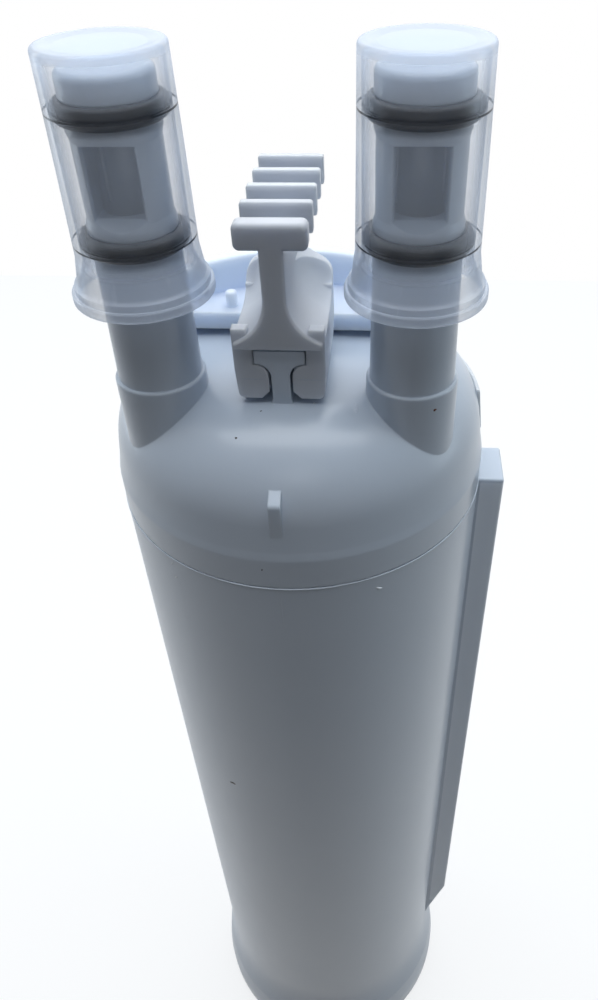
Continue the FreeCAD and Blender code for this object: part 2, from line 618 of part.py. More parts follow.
def port_cap(side):
    """A dust cap pushed over a port, with a stepped brim round its mouth."""
    mouth = up(CAP_MOUTH)
    top = mouth + CAP_HEIGHT
    lip_top = mouth + BRIM_LIP
    step_top = lip_top + BRIM_STEP_HEIGHT
    flare_top = mouth + BRIM_FLARE + 1.5
    corners = [(BRIM_RADIUS - BRIM_WALL, mouth, 0), (BRIM_RADIUS, mouth, 0.25), (BRIM_RADIUS, lip_top, 0.25),
               (BRIM_RADIUS - BRIM_STEP, lip_top, 0), (BRIM_RADIUS - BRIM_STEP, step_top, 0.2),
               (CAP_FOOT_RADIUS + 0.55, step_top + 0.4, 0.8), (CAP_FOOT_RADIUS, flare_top, 3.0),
               (CAP_TOP_RADIUS, top, CAP_EDGE), (0, top, 0), (0, top - CAP_END_WALL, 0),
               (CAP_BORE, top - CAP_END_WALL, 0.4), (CAP_BORE, flare_top - 1, 0),
               (BRIM_RADIUS - BRIM_WALL, lip_top, 0)]
    cap = turned(corners)
    cap.translate(V(side * PORT_X, PORT_Y, 0))
    return cap


def carbon_block():
    """The hollow block of pressed carbon."""
    return tube(BLOCK_RADIUS, BLOCK_BORE, BLOCK_BOTTOM, BLOCK_TOP)


def core_tube():
    """The slotted tube that lines the block's bore."""
    radius = BLOCK_BORE - CORE_GAP
    core = tube(radius, radius - CORE_WALL, BLOCK_BOTTOM, BLOCK_TOP)
    pitch = BLOCK_LENGTH / CORE_SLOT_ROWS
    slots = []
    for row in range(CORE_SLOT_ROWS):
        low = BLOCK_BOTTOM + (row + 0.25) * pitch
        slots.append(block(-radius - 1, radius + 1, -1.2, 1.2, low, low + pitch / 2))
        slots.append(block(-1.2, 1.2, -radius - 1, radius + 1, low, low + pitch / 2))
    return core.cut(slots)


def pre_filter_wrap():
    """The felt sleeve round the block."""
    return tube(WRAP_RADIUS, BLOCK_RADIUS + STACK_GAP, BLOCK_BOTTOM, BLOCK_TOP)


def outer_net():
    """The open plastic net over the felt: upright strands tied by hoops."""
    sleeve = tube(NET_RADIUS, WRAP_RADIUS + STACK_GAP, BLOCK_BOTTOM, BLOCK_TOP)
    pitch = (BLOCK_LENGTH - NET_BAR) / (NET_RINGS - 1)
    cage = [disc(2 * NET_RADIUS, BLOCK_BOTTOM + i * pitch, BLOCK_BOTTOM + i * pitch + NET_BAR)
            for i in range(NET_RINGS)]
    for i in range(NET_STRANDS // 2):
        strand = block(-2 * NET_RADIUS, 2 * NET_RADIUS, -NET_BAR / 2, NET_BAR / 2,
                       BLOCK_BOTTOM, BLOCK_TOP)
        strand.rotate(V(0, 0, 0), V(0, 0, 1), i * 360 / NET_STRANDS)
        cage.append(strand)
    return sleeve.common(cage[0].fuse(cage[1:])).removeSplitter()


def bottom_end_cap():
    """The cap glued on the block's lower end, socketed over the seat in the base."""
    socket_bore = SEAT_RADIUS + SOCKET_FIT
    plate_low = BLOCK_BOTTOM - END_CAP_PLATE
    socket_low = BASE_RECESS + BASE_FLOOR + STACK_GAP
    rim_bore = NET_RADIUS + STACK_GAP
    corners = [(0, plate_low, 0), (socket_bore, plate_low, 0), (socket_bore, socket_low, 0),
               (socket_bore + SOCKET_WALL, socket_low, 0), (socket_bore + SOCKET_WALL, plate_low, 0),
               (END_CAP_RADIUS, plate_low, 1.0), (END_CAP_RADIUS, BLOCK_BOTTOM + END_CAP_RIM, 0),
               (rim_bore, BLOCK_BOTTOM + END_CAP_RIM, 0), (rim_bore, BLOCK_BOTTOM, 0),
               (0, BLOCK_BOTTOM, 0)]
    return turned(corners)


def top_end_cap():
    """The cap glued on the block's upper end, with the neck that carries the clean water."""
    rim_bore = NET_RADIUS + STACK_GAP
    plate_top = BLOCK_TOP + END_CAP_PLATE
    groove = NECK_RADIUS - NECK_SEAL_SECTION + 2 * SOCKET_FIT
    seal = neck_seal_height()
    half = NECK_SEAL_SECTION / 2 + 0.1
    corners = [(NECK_BORE, BLOCK_TOP, 0), (rim_bore, BLOCK_TOP, 0), (rim_bore, BLOCK_TOP - END_CAP_RIM, 0),
               (END_CAP_RADIUS, BLOCK_TOP - END_CAP_RIM, 0), (END_CAP_RADIUS, plate_top, 1.0),
               (NECK_RADIUS, plate_top, 0), (NECK_RADIUS, seal - half, 0), (groove, seal - half, 0),
               (groove, seal + half, 0), (NECK_RADIUS, seal + half, 0), (NECK_RADIUS, NECK_TOP, 0.6),
               (NECK_BORE, NECK_TOP, 0)]
    return turned(corners)


def neck_seal_height():
    """Height of the neck's O-ring, half way up the neck."""
    return BLOCK_TOP + END_CAP_PLATE + NECK_LENGTH * 0.6


def neck_seal():
    """The O-ring on the neck, which just clears the socket round it."""
    inner = NECK_RADIUS - NECK_SEAL_SECTION + 2 * SOCKET_FIT + SEAL_GROOVE_FIT
    section = NECK_SEAL_SECTION - 2 * SEAL_GROOVE_FIT - SOCKET_FIT
    return ring_seal(inner + section / 2, section, neck_seal_height())


def duct_outline(radius_centre, radius_port, low, high):
    """A duct from the centre to the outlet port: two round ends joined by their tangents."""
    reach = math.hypot(PORT_X, PORT_Y)
    heading = math.degrees(math.atan2(PORT_Y, PORT_X))
    lean = math.asin((radius_centre - radius_port) / reach)
    points = []
    for side in (1, -1):
        turn = side * (math.pi / 2 - lean)
        points.append(V(radius_centre * math.cos(turn), radius_centre * math.sin(turn), low))
        points.append(V(reach + radius_port * math.cos(turn), radius_port * math.sin(turn), low))
    order = [points[0], points[1], points[3], points[2], points[0]]
    neck = Part.Face(Part.makePolygon(order)).extrude(V(0, 0, high - low))
    shape = neck.fuse([disc(radius_centre, low, high), disc(radius_port, low, high, reach)])
    shape.rotate(V(0, 0, 0), V(0, 0, 1), heading)
    return shape


def channel_plate():
    """The plate spun under the head: a neck socket, a duct to the outlet and the inlet's hole."""
    radius = SPIGOT_RADIUS - HEAD_SPIGOT_WALL - SPIGOT_FIT
    low = up(PLATE_BOTTOM)
    floor = low + PLATE_THICKNESS
    roof = up(DUCT_TOP) - DUCT_WALL
    socket_bore = NECK_RADIUS + SOCKET_FIT
    socket = socket_bore + SOCKET_WALL
    plate = disc(radius, low, floor)
    duct = duct_outline(socket, PORT_BORE + DUCT_WALL, low, up(DUCT_TOP))
    sleeve = disc(socket, BLOCK_TOP + END_CAP_PLATE + SOCKET_WALL, up(DUCT_TOP))
    solid = plate.fuse([duct, sleeve])
    inside = duct_outline(socket - DUCT_WALL, PORT_BORE, floor, roof)
    return solid.cut([inside, disc(socket_bore, 0, NECK_TOP + SOCKET_FIT), disc(NECK_BORE, 0, floor + 1),
                      disc(PORT_BORE, floor, up(DUCT_TOP) + 1, PORT_X, PORT_Y),
                      disc(INLET_HOLE, 0, up(DUCT_TOP) + 1, -PORT_X, PORT_Y)]).removeSplitter()


def outlet_gasket():
    """The flat ring between the duct's top and the outlet port's pipe."""
    return tube(PORT_BORE + DUCT_WALL, PORT_BORE, up(DUCT_TOP), up(STEM_BOTTOM), PORT_X, PORT_Y)


def pieces():
    """Every piece by its node's name."""
    made = {"housing": housing(), "base_cap": base_cap(), "head": head(),
            "filter_key": filter_key(), "rear_shroud": rear_shroud(),
            "channel_plate": channel_plate(), "outlet_gasket": outlet_gasket(),
            "carbon_block": carbon_block(), "core_tube": core_tube(),
            "pre_filter_wrap": pre_filter_wrap(), "outer_net": outer_net(),
            "bottom_end_cap": bottom_end_cap(), "top_end_cap": top_end_cap(),
            "neck_seal": neck_seal()}
    for name, side in (("left", -1), ("right", 1)):
        made["port_cap_" + name] = port_cap(side)
        made["lower_seal_" + name] = port_seal(side, SEAL_LOW_HEIGHT)
        made["upper_seal_" + name] = port_seal(side, SEAL_HIGH_HEIGHT)
    return made


def main():
    """Build every piece and write its file."""
    os.makedirs("parts", exist_ok=True)
    for name, shape in pieces().items():
        solid = shape.Solids[0] if len(shape.Solids) == 1 else shape
        print(name, "solids", len(shape.Solids), "valid", shape.isValid(), "volume", round(shape.Volume))
        solid.exportStep("parts/" + name + ".step")


main()
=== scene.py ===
"""Looks of the twin-port fridge water filter cartridge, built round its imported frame.

The rigid mouldings are the frame's own nodes with moulded-plastic finishes. The soft dust caps and the
O-rings are surfaces turned here from outlines, and the marks that handling left are small pieces laid on
the surface that carries them. Everything is in metres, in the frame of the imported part.
"""

import logging
import math
from dataclasses import dataclass, field
from enum import Enum
from functools import cached_property
from typing import Any, Union

import bmesh
import bpy
import numpy as np
from mathutils import Matrix, Vector
from mathutils.bvhtree import BVHTree


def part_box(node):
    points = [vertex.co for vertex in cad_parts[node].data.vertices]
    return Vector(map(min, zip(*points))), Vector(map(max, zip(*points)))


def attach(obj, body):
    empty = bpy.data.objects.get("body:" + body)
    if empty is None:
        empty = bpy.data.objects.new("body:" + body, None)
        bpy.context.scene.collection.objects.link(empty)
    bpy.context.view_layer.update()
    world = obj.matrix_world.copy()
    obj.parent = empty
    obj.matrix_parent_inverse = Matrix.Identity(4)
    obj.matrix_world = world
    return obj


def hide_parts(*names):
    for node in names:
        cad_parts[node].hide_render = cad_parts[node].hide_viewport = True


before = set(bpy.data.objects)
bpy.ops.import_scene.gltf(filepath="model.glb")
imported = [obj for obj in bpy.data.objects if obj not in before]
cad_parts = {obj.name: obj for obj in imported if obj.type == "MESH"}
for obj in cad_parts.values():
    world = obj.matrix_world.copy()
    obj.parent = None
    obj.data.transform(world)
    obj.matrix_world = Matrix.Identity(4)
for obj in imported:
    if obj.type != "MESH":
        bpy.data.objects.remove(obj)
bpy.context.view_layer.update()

MM = 0.001
IMAGE_WIDTH = 598
IMAGE_HEIGHT = 1000
SENSOR = 36.0
BEVEL_SAMPLES = 6
log = logging.getLogger("cartridge")

Number = Union["Wire", float]
Colour = tuple[float, float, float, float]


class Slot(Enum):
    """The record's material slots that the marks' carriers are listed with."""

    SHELL = "white_shell"
    KEY = "key_grey"
    SHROUD = "shroud_white"
    CAP = "cap_milky"
    SEAL = "seal_rubber"


class Body(Enum):
    """The bodies that pieces ride on."""

    CARTRIDGE = "cartridge"
    LEFT_CAP = "left_cap"
    RIGHT_CAP = "right_cap"
    KEY = "key"


def linear(red: int, green: int, blue: int, alpha: float = 1.0) -> Colour:
    """Turns a display colour into the linear one that shaders take.

    Args:
        red: Display red from 0 to 255.
        green: Display green from 0 to 255.
        blue: Display blue from 0 to 255.
        alpha: Opacity, passed on as it is.

    Returns:
        The linear colour with its alpha.
    """
    shares = np.array([red, green, blue]) / 255
    low = shares / 12.92
    high = ((shares + 0.055) / 1.055) ** 2.4
    return (*np.where(shares <= 0.04045, low, high).tolist(), alpha)


def shaded(colour: Colour, share: float) -> Colour:
    """Darkens or lightens a linear colour by a share, at most to white."""
    return (*(min(1.0, share * part) for part in colour[:3]), 1.0)


class Wire:
    """One output socket, so that shader maths is written as a plain expression."""

    def __init__(self, board: "Board", socket: bpy.types.NodeSocket) -> None:
        """Keeps the socket and the board that it is on."""
        self.board = board
        self.socket = socket

    def __add__(self, other: Number) -> "Wire":
        """Sum."""
        return self.board.maths("ADD", self, other)

    def __radd__(self, other: Number) -> "Wire":
        """Sum, reflected."""
        return self.board.maths("ADD", other, self)

    def __sub__(self, other: Number) -> "Wire":
        """Difference."""
        return self.board.maths("SUBTRACT", self, other)

    def __rsub__(self, other: Number) -> "Wire":
        """Difference, reflected."""
        return self.board.maths("SUBTRACT", other, self)

    def __mul__(self, other: Number) -> "Wire":
        """Product."""
        return self.board.maths("MULTIPLY", self, other)

    def __rmul__(self, other: Number) -> "Wire":
        """Product, reflected."""
        return self.board.maths("MULTIPLY", other, self)

    def __pow__(self, other: Number) -> "Wire":
        """Power."""
        return self.board.maths("POWER", self, other)

    def above(self, edge: float, width: float) -> "Wire":
        """Smooth step that rises from 0 to 1 over a width that starts at an edge.

        Args:
            edge: Value at which the step starts.
            width: Width over which it rises.

        Returns:
            Zero before the edge and one past the width.
        """
        made = self.board.node("ShaderNodeMapRange", {"interpolation_type": "SMOOTHSTEP"},
                               {"Value": self, "From Min": edge, "From Max": edge + width})
        return Wire(self.board, made.outputs["Result"])

    def below(self, edge: float, width: float) -> "Wire":
        """Smooth step that falls from 1 to 0 over a width that starts at an edge."""
        return 1.0 - self.above(edge, width)


class Board:
    """One node tree, of a material or of the world, with the few helpers that every finish uses."""

    def __init__(self, owner: bpy.types.Material | bpy.types.World) -> None:
        """Clears the owner's node tree.

        Args:
            owner: The new material or world that the nodes belong to.
        """
        owner.use_nodes = True
        self.owner = owner
        self.tree = owner.node_tree
        self.tree.nodes.clear()

    @classmethod
    def of_material(cls, name: str) -> "Board":
        """Starts an empty material of a name."""
        return cls(bpy.data.materials.new(name))

    @cached_property
    def place(self) -> Wire:
        """The place on the piece, in metres."""
        return Wire(self, self.node("ShaderNodeTexCoord").outputs["Object"])

    def background_seen(self) -> Wire:
        """One where the camera, a reflection or a refraction looks, and zero where light is gathered.

        Returns:
            The sum of the three kinds of ray that see the background.
        """
        path = self.node("ShaderNodeLightPath")
        rays = [Wire(self, path.outputs[name]) for name in ("Is Camera Ray", "Is Glossy Ray",
                                                           "Is Transmission Ray")]
        return rays[0] + rays[1] + rays[2]

    def node(self, kind: str, settings: dict[str, Any] | None = None,
             inputs: dict[str | int, Any] | None = None) -> bpy.types.Node:
        """Adds any node.

        Args:
            kind: The node's type.
            settings: Its settings, set first.
            inputs: Values or wires for its sockets, by name or index.

        Returns:
            The new node.
        """
        made = self.tree.nodes.new(kind)
        for name, value in (settings or {}).items():
            setattr(made, name, value)
        for key, value in (inputs or {}).items():
            if isinstance(value, Wire):
                self.tree.links.new(value.socket, made.inputs[key])
            else:
                made.inputs[key].default_value = value
        return made

    def maths(self, operation: str, first: Number, second: Number) -> Wire:
        """One Math node on two values."""
        made = self.node("ShaderNodeMath", {"operation": operation}, {0: first, 1: second})
        return Wire(self, made.outputs[0])

    def noise(self, scale: float, detail: float = 2.0, stretch: tuple[float, float, float] = (1, 1, 1),
              roughness: float = 0.5) -> Wire:
        """Noise on the piece's own place.

        Args:
            scale: Features per metre.
            detail: Octaves.
            stretch: Scale along each axis; a small one draws the features out along it.
            roughness: Weight of the finer octaves.

        Returns:
            A value around one half.
        """
        moved = self.node("ShaderNodeMapping", {}, {"Vector": self.place, "Scale": stretch})
        made = self.node("ShaderNodeTexNoise", {}, {"Vector": Wire(self, moved.outputs[0]), "Scale": scale,
                                                    "Detail": detail, "Roughness": roughness})
        return Wire(self, made.outputs[0])

    def axis(self, index: int) -> Wire:
        """The place along X, Y or Z, in metres."""
        made = self.node("ShaderNodeSeparateXYZ", {}, {0: self.place})
        return Wire(self, made.outputs[index])

    def blend(self, share: Number, first: Any, second: Any) -> Wire:
        """Mixes two colours by a share.

        Args:
            share: 0 gives the first and 1 the second.
            first: A colour or a wire.
            second: A colour or a wire.

        Returns:
            The mixed colour.
        """
        made = self.node("ShaderNodeMix", {"data_type": "RGBA"}, {0: share, 6: first, 7: second})
        return Wire(self, made.outputs[2])

    def bump(self, height: Wire, depth: float, rounding: float = 0.0) -> Wire:
        """A normal from a height.

        Args:
            height: The height, in shares of the depth.
            depth: The depth in metres.
            rounding: Radius in metres by which sharp edges look rounded.

        Returns:
            The bumped normal.
        """
        inputs = {"Height": height, "Distance": depth, "Strength": 1.0}
        if rounding:
            edge = self.node("ShaderNodeBevel", {"samples": BEVEL_SAMPLES}, {"Radius": rounding})
            inputs["Normal"] = Wire(self, edge.outputs[0])
        return Wire(self, self.node("ShaderNodeBump", {}, inputs).outputs[0])

    def mixed(self, share: Number, first: bpy.types.Node, second: bpy.types.Node) -> bpy.types.Node:
        """Mixes two shaders by a share: 0 gives the first and 1 the second."""
        return self.node("ShaderNodeMixShader", {}, {0: share, 1: Wire(self, first.outputs[0]),
                                                     2: Wire(self, second.outputs[0])})

    def surface(self, inputs: dict[str, Any]) -> bpy.types.Material:
        """Ends the material with a principled surface.

        Args:
            inputs: Values or wires for the surface's sockets.

        Returns:
            The finished material.
        """
        shader = self.node("ShaderNodeBsdfPrincipled", {}, inputs)
        self.node("ShaderNodeOutputMaterial", {}, {"Surface": Wire(self, shader.outputs[0])})
        return self.owner


@dataclass(frozen=True)
class Pattern:
    """Noise cut off at an edge, which leaves patches, flecks or streaks.

    Its fields are the features per metre, the octaves, the value and width at which the noise is cut off,
    the scale along each axis, and the weight of the finer octaves.
    """

    scale: float
    detail: float
    edge: float
    width: float
    stretch: tuple[float, float, float] = (1.0, 1.0, 1.0)
    fineness: float = 0.5

    def on(self, board: Board) -> Wire:
        """One inside the patches and zero between them."""
        return board.noise(self.scale, self.detail, self.stretch, self.fineness).above(self.edge, self.width)


SCUFFS = Pattern(260, 4, 0.66, 0.1, (1.0, 1.0, 0.12), 0.7)
SCUFFED_AREAS = Pattern(34, 2, 0.5, 0.18)
DUST = Pattern(2100, 1, 0.76, 0.05)
DUSTY_AREAS = Pattern(90, 2, 0.45, 0.2)
GRIME = Pattern(420, 4, 0.42, 0.25)
DRAWN_LINES = Pattern(900, 2, 0.62, 0.16, (1.0, 1.0, 0.02))
BLOOM = Pattern(800, 3, 0.55, 0.2)


@dataclass(frozen=True)
class MouldedPlastic:
    """Moulded plastic: slight colour drift, orange peel, drawn-out scuffs and settled dust.

    Where asked for, grime gathers below a height, and painted light lies beyond a distance along X between
    two heights, on the outer edge of the rail: a paler colour in streaks that stands in for extra light on
    the rail's face.
    """

    name: str
    colour: Colour
    roughness: float
    coat: float = 0.0
    drift: float = 0.12
    dull: float = 0.86
    pale: float = 1.12
    peel: float = 6e-6
    scuffs: float = 0.5
    scuffs_shown: float = 0.5
    scuffs_raised: float = 0.4
    scuffs_rougher: float = 0.18
    dust_shown: float = 0.35
    dust_rougher: float = 0.15
    uneven: float = 0.08
    rounding: float = 0.0
    coat_roughness: float = 0.12
    grime_below: float = 0.0
    grime_shown: float = 0.22
    grime_colour: Colour = linear(96, 96, 98)
    # Painted light on the rail's outer face: where it starts along X, the heights it spans and its paler
    # colour.
    painted_light_beyond: float = 0.0
    painted_light_heights: tuple[float, float] = (34.0 * MM, 211.8 * MM)
    painted_light_colour: Colour = linear(234, 240, 248)
    glow: float = 0.0
    glow_depth: float = 1.0 * MM

    def material(self) -> bpy.types.Material:
        """Builds the finish.

        Returns:
            The finished material.
        """
        board = Board.of_material(self.name)
        pale = shaded(self.colour, self.pale)
        colour = board.blend(board.noise(22, 3) * self.drift, self.colour, shaded(self.colour, self.dull))
        scuffed = SCUFFS.on(board) * SCUFFED_AREAS.on(board)
        worn = scuffed * self.scuffs
        colour = board.blend(worn * self.scuffs_shown, colour, pale)
        dust = DUST.on(board) * DUSTY_AREAS.on(board)
        colour = board.blend(dust * self.dust_shown, colour, pale)
        if self.grime_below:
            grime = board.axis(2).below(0.0, self.grime_below) * GRIME.on(board)
            colour = board.blend(grime * self.grime_shown, colour, self.grime_colour)
        # Painted light: the rail's outer face is lightened in streaks towards a paler colour, standing in for
        # light that falls on it.
        if self.painted_light_beyond:
            foot, head = self.painted_light_heights
            rail = board.axis(0).above(self.painted_light_beyond, 0.2 * MM) * board.axis(2).above(foot, 2 * MM)
            rail = rail * board.axis(2).below(head, 0.6 * MM)
            painted_light_streaks = board.noise(60, 4, (1.0, 1.0, 0.15)) * 0.4 + 0.65
            colour = board.blend(rail * painted_light_streaks, colour, self.painted_light_colour)
        rough = board.noise(130, 3) * self.uneven + (self.roughness - self.uneven * 0.5)
        rough = rough + worn * self.scuffs_rougher + dust * self.dust_rougher
        height = board.noise(1300, 2) + scuffed * self.scuffs_raised
        normal = board.bump(height, self.peel, rounding=self.rounding)
        return board.surface({"Base Color": colour, "Roughness": rough, "Normal": normal,
                              "Coat Weight": self.coat, "Coat Roughness": self.coat_roughness,
                              "Subsurface Weight": self.glow, "Subsurface Scale": self.glow_depth,
                              "Subsurface Radius": (1.0, 1.0, 1.0)})


@dataclass(frozen=True)
class MilkyPlastic:
    """Soft translucent plastic of a dust cap.

    The wall is clear with a haze that passes light on diffusely, whiter towards its edges, at the brim and at
    the closed end. A dark band lies where an O-ring presses on it, with a hairline along its middle: partly
    grease, partly painted shade and painted reflection of the ring, wider than the ring itself.
    Both faces of the wall mirror the surroundings a little.
    """

    name: str
    colour: Colour
    # The dark of the pressed bands: partly grease, partly painted shade and painted reflection of the ring.
    grease_and_painted_shade: Colour
    mouth: float
    top: float
    seals: tuple[float, ...]
    clear: float = 0.14
    edge: float = 0.46
    pressed: float = 0.2
    press: float = 3.4 * MM
    brim: float = 6.2 * MM
    end: float = 1.3 * MM
    hairline: float = 0.22 * MM
    sheen: float = 0.035
    passed: float = 0.5
    rim: float = 0.3
    whitened: float = 0.22
    line_shown: float = 0.6
    clouded: float = 0.08
    drawn: float = 0.03
    dimples: float = 2e-5
    roughness: float = 0.3
    specular: float = 0.2
    sheen_roughness: float = 0.22

    def _touched(self, board: Board, height: Wire) -> tuple[Wire, Wire]:
        """The dark bands, grease and painted shade, and the hairlines where the O-rings touch: one inside,
        zero outside.

        Args:
            board: The node tree.
            height: The height on the piece.

        Returns:
            The bands and the hairlines.
        """
        band: Number = 0.0
        line: Number = 0.0
        for seal in self.seals:
            off = board.maths("ABSOLUTE", height - seal, 0.0)
            line = line + off.below(self.hairline * 0.5, self.hairline * 0.5)
            # Each band is wider than the ring; its dark is partly grease, partly painted shade and painted
            # reflection of the ring.
            band = band + off.below(self.press * 0.5 - 0.5 * MM, 0.7 * MM)
        return band, line

    def _haze(self, board: Board, height: Wire, facing: Wire, band: Wire) -> Wire:
        """The share of milk in the wall: clouded and drawn, and more of it at the edges, brim and end.

        Args:
            board: The node tree.
            height: The height on the piece.
            facing: Zero where the wall faces the eye and one at its edge.
            band: The dark bands of grease and painted shade.

        Returns:
            The share of milk, before the grazing rim and the hairlines.
        """
        cloud = board.noise(110, 4, (1.0, 1.0, 0.35)) * self.clouded - self.clouded * 0.5
        plain = cloud + DRAWN_LINES.on(board) * self.drawn + self.clear
        brim = height.below(self.mouth + self.brim - 1.2 * MM, 1.2 * MM)
        end = height.above(self.top - self.end, 0.3 * MM)
        side = facing.above(0.25, 0.55) * (self.edge - self.clear)
        return plain * (1.0 - band) + band * self.pressed + side + (brim + end) * self.whitened

    def material(self) -> bpy.types.Material:
        """Builds the finish.

        Returns:
            The finished material.
        """
        board = Board.of_material(self.name)
        facing = Wire(board, board.node("ShaderNodeLayerWeight", {}, {"Blend": 0.5}).outputs["Facing"])
        height = board.axis(2)
        band, line = self._touched(board, height)
        band = band * facing.below(0.15, 0.35)
        grazing = facing ** 5.0 * self.rim
        veil = self._haze(board, height, facing, band) + grazing + line * self.line_shown
        dark = board.maths("MAXIMUM", band, line)
        # Painted shade: the bands and hairlines darken towards the dark colour, partly grease and partly
        # painted shade and reflection of the ring.
        colour = board.blend(dark, self.colour, self.grease_and_painted_shade)
        bump = board.bump(board.noise(420, 2, (1.0, 1.0, 0.3)), self.dimples)
        body = board.node("ShaderNodeBsdfPrincipled", {}, {
            "Base Color": colour, "Roughness": self.roughness, "Specular IOR Level": self.specular,
            "Normal": bump})
        through = board.node("ShaderNodeBsdfTranslucent", {}, {"Color": self.colour})
        glass = board.node("ShaderNodeBsdfTransparent")
        mirror = board.node("ShaderNodeBsdfGlossy", {}, {
            "Color": self.colour, "Roughness": self.sheen_roughness, "Normal": bump})
        milk = board.mixed((1.0 - dark) * self.passed, body, through)
        wall = board.mixed(veil, glass, milk)
        lit = board.mixed(grazing + (1.0 - dark * 0.6) * self.sheen, wall, mirror)
        board.node("ShaderNodeOutputMaterial", {}, {"Surface": Wire(board, lit.outputs[0])})
        return board.owner


@dataclass(frozen=True)
class Rubber:
    """Dark rubber with a paler bloom in its pores."""

    name: str
    colour: Colour
    bloom: Colour = linear(40, 52, 66)

    def material(self) -> bpy.types.Material:
        """Builds the finish.

        Returns:
            The finished material.
        """
        board = Board.of_material(self.name)
        bloom = BLOOM.on(board)
        colour = board.blend(bloom * 0.25, self.colour, self.bloom)
        rough = bloom * 0.2 + 0.38
        return board.surface({"Base Color": colour, "Roughness": rough,
                              "Normal": board.bump(board.noise(2600, 2), 6e-6)})


@dataclass(frozen=True)
class Pressed:
    """A pressed or felted filter medium: grains or fibres over a body colour."""

    name: str
    colour: Colour
    fleck: Colour
    grain: float
    depth: float

    def material(self) -> bpy.types.Material:
        """Builds the finish.

        Returns:
            The finished material.
        """
        board = Board.of_material(self.name)
        grains = board.noise(self.grain, 4, roughness=0.7)
        colour = board.blend(grains.above(0.5, 0.2), self.colour, self.fleck)
        return board.surface({"Base Color": colour, "Roughness": grains * 0.2 + 0.7,
                              "Normal": board.bump(grains, self.depth)})


@dataclass(frozen=True)
class Deposit:
    """A small mark: a speck of dirt, a burr or a pale witness of the mould."""

    name: str
    colour: Colour
    roughness: float
    grain_shade: float = 0.7

    def material(self) -> bpy.types.Material:
        """Builds the finish.

        Returns:
            The finished material.
        """
        board = Board.of_material(self.name)
        grain = board.noise(2400, 2)
        colour = board.blend(grain * 0.5, self.colour, shaded(self.colour, self.grain_shade))
        return board.surface({"Base Color": colour, "Roughness": grain * 0.1 + self.roughness})


# The shell's rail face carries painted light: a paler colour beyond 33.1 mm along X.
SHELL = MouldedPlastic("moulded_shell", linear(188, 199, 213), 0.34, coat=0.15, grime_below=0.012,
                       painted_light_beyond=33.1 * MM, glow=0.4, glow_depth=2.2 * MM)
HEAD = MouldedPlastic("moulded_head", linear(188, 199, 213), 0.30, coat=0.15, rounding=0.35 * MM,
                      glow=0.4, glow_depth=2.2 * MM)
KEY = MouldedPlastic("moulded_key", linear(202, 206, 214), 0.46, scuffs=0.8, peel=1.2e-5,
                     rounding=0.4 * MM, glow=0.9, glow_depth=2.6 * MM)
SHROUD = MouldedPlastic("moulded_shroud", linear(212, 222, 240), 0.34, coat=0.15, scuffs=0.3,
                        rounding=0.4 * MM, glow=1.0, glow_depth=4.0 * MM)
INNER = MouldedPlastic("moulded_inner", linear(214, 216, 218), 0.5, scuffs=0.1)
NET = MouldedPlastic("extruded_net", linear(220, 224, 226), 0.45, scuffs=0.0)
SEAL = Rubber("seal_rubber_black", linear(20, 28, 38))
CARBON = Pressed("pressed_carbon", linear(26, 26, 27), linear(52, 52, 54), 1800, 6e-5)
FELT = Pressed("white_felt", linear(226, 226, 222), linear(206, 206, 202), 1400, 1.2e-4)
DIRT = Deposit("dark_speck", linear(46, 46, 50), 0.7)
RUST = Deposit("brown_speck", linear(92, 62, 54), 0.7)
BURR = Deposit("white_burr", linear(236, 240, 246), 0.4)
WITNESS = Deposit("mould_witness", linear(198, 208, 222), 0.22)
# Paler than the shell: a painted highlight along the seam, on a real bead.
BEAD_WITH_HIGHLIGHT = Deposit("pressed_bead_painted_highlight", linear(206, 216, 228), 0.3)

NODE_FINISH = {
    "housing": SHELL, "base_cap": SHELL, "head": HEAD, "filter_key": KEY, "rear_shroud": SHROUD,
    "channel_plate": INNER, "outlet_gasket": SEAL, "carbon_block": CARBON, "core_tube": INNER,
    "pre_filter_wrap": FELT, "outer_net": NET, "bottom_end_cap": INNER, "top_end_cap": INNER,
    "neck_seal": SEAL,
}


class Wardrobe:
    """Builds each finish once and hands it out."""

    def __init__(self) -> None:
        """Starts with no material made."""
        self.made: dict[str, bpy.types.Material] = {}

    def of(self, finish: Any) -> bpy.types.Material:
        """The finish's material, made at its first use.

        Args:
            finish: Any of the finishes above.

        Returns:
            The one material of that finish's name.
        """
        if finish.name not in self.made:
            self.made[finish.name] = finish.material()
        return self.made[finish.name]

    def dress(self, piece: bpy.types.Object, finish: Any) -> None:
        """Puts a finish on every material slot of a piece, on the object itself.

        Args:
            piece: The object to dress.
            finish: Any of the finishes above.
        """
        material = self.of(finish)
        if not piece.material_slots:
            piece.data.materials.append(material)
        for holder in piece.material_slots:
            holder.link = "OBJECT"
            holder.material = material


